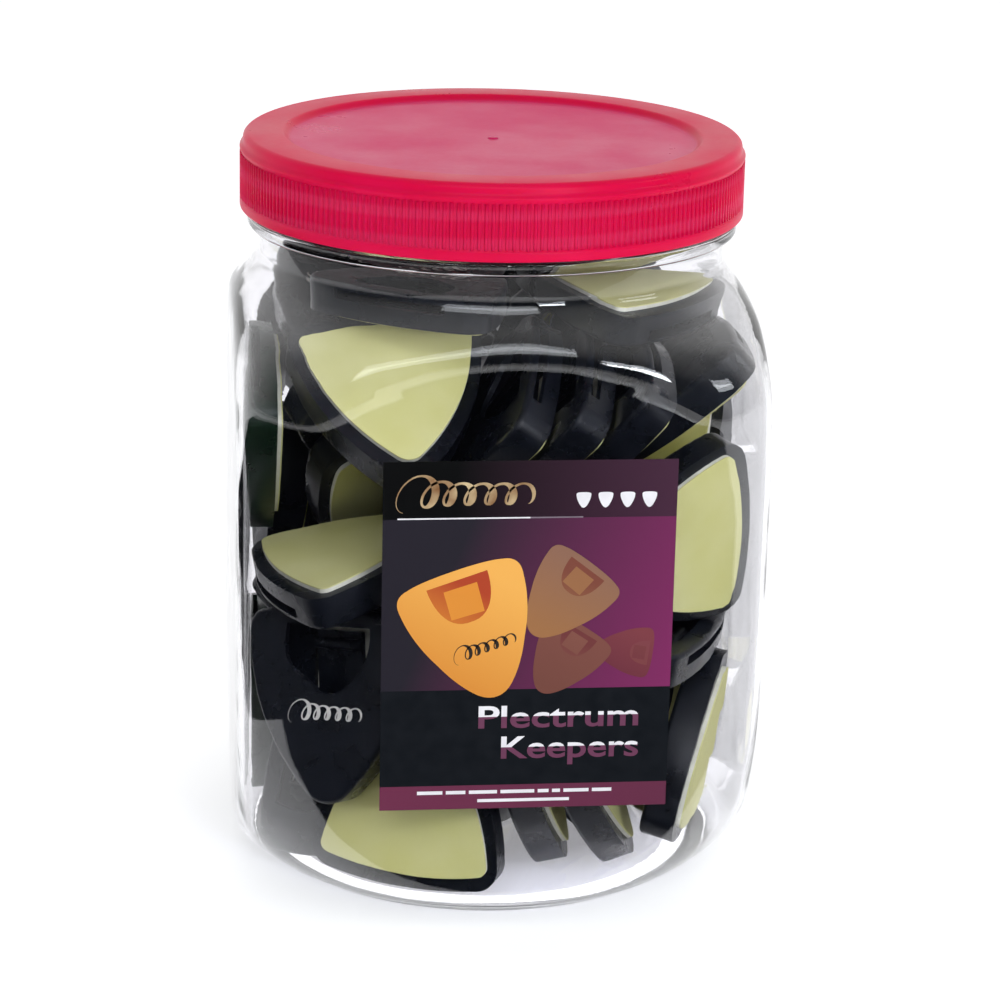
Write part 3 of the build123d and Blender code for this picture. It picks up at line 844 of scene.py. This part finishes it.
class Label:
    """Printed label on the front panel: ground sheet, pictures, words and rules."""

    def __init__(self) -> None:
        self.left = LABEL.x - LABEL.width / 2
        self.top = LABEL.z + LABEL.height / 2

    def at(self, across: float, down: float) -> np.ndarray:
        """Place on the label from fractions of its width and height, in millimetres."""
        return np.array([self.left + across * LABEL.width, self.top - down * LABEL.height])

    def patch(self, name: str, figure: np.ndarray, level: int, ink: bpy.types.Material) -> None:
        """Lays a printed figure on the sheet.

        Args:
            name: piece name.
            figure: outline in millimetres, anticlockwise.
            level: stacking order of the ink.
            ink: material.
        """
        count = len(figure)
        back = LABEL.face + INK_STEP * level
        front = back + INK
        verts = [(x, -front, z) for x, z in figure] + [(x, -back, z) for x, z in figure]
        faces = [tuple(range(count)), tuple(reversed(range(count, 2 * count)))]
        faces += [(k, k + count, (k + 1) % count + count, (k + 1) % count) for k in range(count)]
        self.keep(mesh_object(name, np.array(verts) * MM, faces, smooth=False), ink)

    @staticmethod
    def keep(piece: bpy.types.Object, ink: bpy.types.Material) -> None:
        """Finishes a piece of the label."""
        finish_piece(piece, ink, "jar", ["front_label"])

    def words(self, name: str, rows: Sequence[tuple[str, float, float]], right: float, size: float,
              ink: bpy.types.Material) -> None:
        """Sets rows of words against a right margin.

        Args:
            name: piece name.
            rows: text, height of the baseline and width in millimetres.
            right: x of the margin in millimetres.
            size: type size in millimetres.
            ink: material.
        """
        points, faces = [], []
        for text, base, width in rows:
            curve = bpy.data.curves.new(name, "FONT")
            curve.body, curve.size, curve.align_x = text, size, "RIGHT"
            curve.offset, curve.extrude, curve.resolution_u = 0.13, 0.006, 4
            setter = bpy.data.objects.new(name, curve)
            bpy.context.scene.collection.objects.link(setter)
            bpy.context.view_layer.update()
            ready = setter.evaluated_get(bpy.context.evaluated_depsgraph_get())
            mesh = bpy.data.meshes.new_from_object(ready)
            bpy.data.objects.remove(setter)
            flat = np.array([v.co[:] for v in mesh.vertices])
            flat[:, 0] *= width / np.ptp(flat[:, 0])
            start = len(points)
            points += [(right + x, -(LABEL.face + 0.03 + z), base + y) for x, y, z in flat]
            faces += [tuple(start + v for v in face.vertices) for face in mesh.polygons]
        self.keep(mesh_object(name, np.array(points) * MM, faces, smooth=False), ink)

    def rule(self, name: str, start: Pair, end: Pair, level: int, ink: bpy.types.Material) -> None:
        """Lays a level bar between two corners given as fractions of the label."""
        (x0, z0), (x1, z1) = self.at(*start), self.at(*end)
        self.patch(name, np.array([(x0, z1), (x1, z1), (x1, z0), (x0, z0)]), level, ink)

    def picture(self, name: str, across: float, down: float, scale: float, turn: float, level: int,
                low: Colour, high: Colour, inside: Colour, block: Colour) -> None:
        """Prints one holder seen from its face, with its window and tongue."""
        x, z = self.at(across, down)
        middle = (x * MM, 0.0, z * MM)
        place = np.array([x, z])
        ink = picture_ink(name + " ink", low, high, middle, HOLDER.shade_reach * scale * MM)
        self.patch(name, spin(holder_outline(scale), turn) + place, level, ink)
        reach = HOLDER.window_shade_reach * scale * MM
        deep = picture_ink(name + " window ink", block, inside, middle, reach)
        self.patch(name + "_window", spin(window_outline() * scale, turn) + place, level + 1, deep)
        front = picture_ink(name + " tongue ink", low, block, middle, HOLDER.shade_reach * scale * MM)
        self.patch(name + "_tongue", spin(np.array(HOLDER.tongue) * scale, turn) + place, level + 2, front)

    def scroll(self, name: str, width: float, place: np.ndarray, turn: float, level: int,
               ink: bpy.types.Material) -> None:
        """Prints the invented swash."""
        one, two = (spin(edge, turn) + place for edge in swash(width))
        back = -LABEL.face - INK_STEP * level
        front = back - INK
        rings = [np.array([(a[0], back, a[1]), (a[0], front, a[1]), (b[0], front, b[1]),
                           (b[0], back, b[1])]) * MM for a, b in zip(one, two)]
        verts, faces = tube(rings, closed_loop=False)
        faces = [tuple(reversed(face)) for face in faces]
        last = len(verts)
        faces += [(0, 1, 2, 3), (last - 1, last - 2, last - 3, last - 4)]
        self.keep(mesh_object(name, verts, faces, smooth=False), ink)

    def build(self) -> None:
        """Makes the label."""
        ground, white, gold = label_paper(), plain(WHITE_INK), plain(GOLD)
        corners = np.array([self.at(*f) for f in ((0, 1), (1, 1), (1, 0), (0, 0))])
        verts = [(x, -LABEL.face, z) for x, z in corners]
        verts += [(x, -LABEL.face + LABEL.thickness, z) for x, z in corners]
        faces = [(0, 1, 2, 3), (7, 6, 5, 4), (0, 4, 5, 1), (1, 5, 6, 2), (2, 6, 7, 3), (3, 7, 4, 0)]
        self.keep(mesh_object("label_sheet", np.array(verts) * MM, faces, smooth=False), ground)
        self.rule("label_line", (0.05, 0.1575), (0.50, 0.1615), 1, white)
        self.rule("label_line_end", (0.50, 0.1575), (0.68, 0.1615), 1, plain(FAINT_INK))
        self.scroll("label_scroll", 27.0, self.at(0.29, 0.10), 0.0, 1, gold)
        for k in range(4):
            place = self.at(0.68 + 0.075 * k, 0.11)
            self.patch(f"label_pick_{k + 1}", holder_outline(0.075, 4) + place, 1, white)
        self.picture("label_copy_far", 0.845, 0.545, 0.27, -97, 1, (0.15, 0.030, 0.045),
                     (0.20, 0.045, 0.055), (0.20, 0.05, 0.06), (0.19, 0.05, 0.05))
        self.picture("label_copy_low", 0.63, 0.56, 0.38, -33, 5, (0.17, 0.060, 0.045), (0.20, 0.070, 0.055),
                     (0.16, 0.04, 0.04), (0.22, 0.08, 0.06))
        self.picture("label_copy_high", 0.625, 0.385, 0.44, -38, 9, (0.33, 0.150, 0.060),
                     (0.26, 0.130, 0.085), (0.20, 0.06, 0.04), (0.30, 0.13, 0.06))
        self.picture("label_holder", 0.315, 0.475, 0.66, 19, 13, (0.68, 0.26, 0.040), (0.85, 0.42, 0.090),
                     (0.42, 0.055, 0.020), (0.72, 0.26, 0.035))
        self.scroll("label_holder_scroll", 13.0, self.at(0.36, 0.53), 19.0, 17, plain(DARK_INK))
        rows = [("Plectrum", self.at(0, 0.762)[1], 36.0), ("Keepers", self.at(0, 0.852)[1], 31.0)]
        two_tone = two_tone_ink([base + 2.6 for _, base, _ in rows])
        self.words("label_words", rows, self.at(0.90, 0)[0], 7.4, two_tone)
        widths = (0.10, 0.08, 0.11, 0.13, 0.05, 0.04)
        start, end, gap = 0.13, 0.9, 0.012
        for k, width in enumerate(widths * 2):
            if start + width > end:
                break
            self.rule(f"label_greek_{k + 1}", (start, 0.946), (start + width - gap, 0.956), 1, white)
            start += width
        self.rule("label_greek_line", (0.34, 0.972), (0.66, 0.981), 1, white)


# ------------------------------------------------------------------ emblems
class Emblems:
    """Invented swash printed below the window of every holder."""

    def __init__(self, nodes: dict[str, bpy.types.Object]) -> None:
        self.nodes = nodes

    @staticmethod
    def islands(mesh: bpy.types.Mesh) -> list[tuple[np.ndarray, np.ndarray]]:
        """Splits a mesh into its loose parts.

        Args:
            mesh: the mesh.
        Returns:
            Area centroid and vertex positions of each part.
        """
        points = np.array([v.co[:] for v in mesh.vertices])
        _, first, back = np.unique(np.round(points * 1e6).astype(int), axis=0, return_index=True,
                                   return_inverse=True)
        same = first[back.ravel()]
        parent = list(range(len(points)))

        def root(k: int) -> int:
            while parent[k] != k:
                parent[k] = parent[parent[k]]
                k = parent[k]
            return k

        mesh.calc_loop_triangles()
        corners = same[np.array([t.vertices[:] for t in mesh.loop_triangles])]
        for a, b, c in corners.tolist():
            parent[root(a)] = root(b)
            parent[root(b)] = root(c)
        owner = np.array([root(k) for k in corners[:, 0].tolist()])
        parts = []
        for key in sorted(set(owner.tolist())):
            tri = points[corners[owner == key]]
            area = np.linalg.norm(np.cross(tri[:, 1] - tri[:, 0], tri[:, 2] - tri[:, 0]), axis=1)
            parts.append(((tri.mean(1) * area[:, None]).sum(0) / area.sum(), tri.reshape(-1, 3)))
        return parts

    def poses(self) -> list[tuple[np.ndarray, np.ndarray, np.ndarray]]:
        """Works out where each holder lies from its paper and its shell.

        Returns:
            For each holder the centre of its paper, its face direction and the direction of its wide edge.
        """
        found = []
        for name, node in self.nodes.items():
            if "backing_paper" not in name:
                continue
            twin = self.nodes[name.replace("backing_paper", "front_shell")]
            shells = [centre for centre, _ in self.islands(twin.data)]
            for centre, points in self.islands(node.data):
                normal = np.linalg.svd(points - points.mean(0), full_matrices=False)[2][2]
                stack = HOLDER.shell_from_paper * MM
                gaps = [abs(np.linalg.norm(shell - centre) - stack) for shell in shells]
                shell = shells[int(np.argmin(gaps))]
                if (shell - centre) @ normal < 0:
                    normal = -normal
                up = centre - shell
                up -= (up @ normal) * normal
                found.append((centre, normal, up / np.linalg.norm(up)))
        return found

    def build(self) -> None:
        """Makes one piece with the emblem of every holder."""
        one, two = swash(HOLDER.emblem_width)
        verts, faces = [], []
        for centre, face, up in self.poses():
            side = np.cross(face, up)
            start = len(verts)
            for a, b in zip(one, two):
                for (x, z), lift in ((a, 0.0), (a, INK), (b, INK), (b, 0.0)):
                    out = face * (HOLDER.face_from_paper + lift)
                    verts.append(centre + MM * (out - side * x + up * (z + HOLDER.emblem_z)))
            for ring in range(start, start + 4 * (len(one) - 1), 4):
                for m in range(4):
                    after = (m + 1) % 4
                    faces.append((ring + m, ring + after, ring + 4 + after, ring + 4 + m))
            last = len(verts)
            faces += [(start + 3, start + 2, start + 1, start), (last - 4, last - 3, last - 2, last - 1)]
        piece = mesh_object("holder_emblems", verts, faces, smooth=False)
        finish_piece(piece, plain(FOIL), "jar")


# ------------------------------------------------------------------ studio
def sweep() -> None:
    """White floor that glows a little, so that it stays even behind the jar."""
    floor_surface, graph, shader, where = material("pale sweep")
    cloud = graph.noise(where, 3.0, 2.0)
    graph.put(shader.inputs["Base Color"], graph.mix(cloud, (0.985, 0.985, 0.985), (0.955, 0.955, 0.96)))
    tune(shader, {"Roughness": 0.9, "Specular IOR Level": 0.1, "Emission Color": (1.0, 1.0, 1.0, 1.0),
                  "Emission Strength": 0.40})
    size = 6.0
    corners = [(-size, -size, 0), (size, -size, 0), (size, size, 0), (-size, size, 0)]
    floor = mesh_object("floor", corners, [(0, 1, 2, 3)])
    floor.data.materials.append(floor_surface)


def card() -> None:
    """Black card on the floor that only reflections see, so that dark plastic stays dark."""
    flag_surface, graph, shader, where = material("black flag")
    cloth = graph.mix(graph.noise(where, 40.0, 2.0), (0.004, 0.004, 0.005), (0.010, 0.010, 0.012))
    graph.put(shader.inputs["Base Color"], cloth)
    tune(shader, {"Roughness": 1.0, "Specular IOR Level": 0.0})
    edge = [(-0.9, -0.9), (0.7, -0.9), (0.35, -0.068), (-0.15, -0.068), (-0.15, 0.25), (-0.9, 0.25)]
    flag = mesh_object("flag", [(x, y, MM) for x, y in edge], [tuple(range(len(edge)))])
    flag.data.materials.append(flag_surface)
    flag.visible_camera = flag.visible_diffuse = flag.visible_shadow = False


def surroundings() -> None:
    """World that is white behind and above the jar and dark on the camera's side."""
    world = bpy.data.worlds.new("studio")
    bpy.context.scene.world = world
    world.use_nodes = True
    background = world.node_tree.nodes["Background"]
    sky = Graph(world.node_tree)
    _, away, up = sky.parts(sky.add("ShaderNodeTexCoord").outputs["Generated"])
    behind = sky.spread(away, -0.15, 0.55, 0.0, 1.0)
    above = sky.spread(up, 0.30, 0.95, 0.0, 0.7)
    white = sky.maths("MAXIMUM", behind, above)
    sky.put(background.inputs[0], sky.mix(white, (0.06, 0.07, 0.09), (1.0, 1.0, 1.0)))
    background.inputs[1].default_value = 1.0


def lamps() -> None:
    """Area lamps that aim at the jar."""
    for lamp in LAMPS:
        area = bpy.data.lights.new(lamp.name, "AREA")
        area.shape = "RECTANGLE"
        area.size, area.size_y = lamp.width, lamp.height
        area.color = LAMP_COLOUR
        area.energy = lamp.power
        light = bpy.data.objects.new(lamp.name, area)
        light.location = lamp.place
        light.rotation_euler = (Vector(lamp.aim) - Vector(lamp.place)).to_track_quat("-Z", "Y").to_euler()
        bpy.context.scene.collection.objects.link(light)


def camera() -> bpy.types.Object:
    """Camera with a long lens, a little left of the jar and above it.

    Returns:
        The camera.
    """
    angles = (VIEW.azimuth, VIEW.elevation, VIEW.pan, VIEW.roll)
    azimuth, elevation, pan, roll = (math.radians(v) for v in angles)
    away = Vector((math.sin(azimuth) * math.cos(elevation), -math.cos(azimuth) * math.cos(elevation),
                   math.sin(elevation)))
    forward = -away
    right = forward.cross(Vector((0, 0, 1))).normalized()
    up = right.cross(forward)
    ahead = forward * math.cos(pan) + right * math.sin(pan)
    right = ahead.cross(up)
    side = right * math.cos(roll) + up * math.sin(roll)
    top = up * math.cos(roll) - right * math.sin(roll)
    lens = bpy.data.cameras.new("camera")
    lens.lens = VIEW.focal
    lens.sensor_width = VIEW.sensor
    lens.clip_start = VIEW.near
    made = bpy.data.objects.new("camera", lens)
    turned = Matrix((side, top, -ahead)).transposed().to_4x4()
    made.matrix_world = Matrix.Translation(Vector(VIEW.target) + away * VIEW.distance) @ turned
    bpy.context.scene.collection.objects.link(made)
    return made


# ------------------------------------------------------------------ main
def paint(nodes: dict[str, bpy.types.Object]) -> None:
    """Gives the liner's and the holders' CAD nodes their materials."""
    paper, tape, liner = plain(PAPER), plain(TAPE), plain(LINER)
    black, green = plain(BLACK), plain(GREEN)
    flat = {Zone.PAPER: paper, Zone.TAPE: tape}
    for name, node in nodes.items():
        zone = next((zone for zone in Zone if zone.value in name), None)
        if name == "lid_liner":
            surface = liner
        elif zone in flat:
            surface = flat[zone]
        elif zone:
            surface = green if name.startswith(GREEN_HOLDERS) else black
        else:
            continue
        node.data.materials.clear()
        node.data.materials.append(surface)


def main() -> None:
    """Builds the whole scene."""
    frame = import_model()
    clear, red = clear_pet(), red_lid()
    paint(frame["nodes"])
    Label().build()
    Emblems(frame["nodes"]).build()
    Jar(clear).build()
    Lid(red).build()
    for stage in (sweep, card, surroundings, lamps):
        stage()
    bpy.context.scene.view_settings.view_transform = "Standard"
    bpy.context.scene.camera = camera()


if __name__ == "__main__":
    logging.basicConfig(level=logging.INFO)
    main()
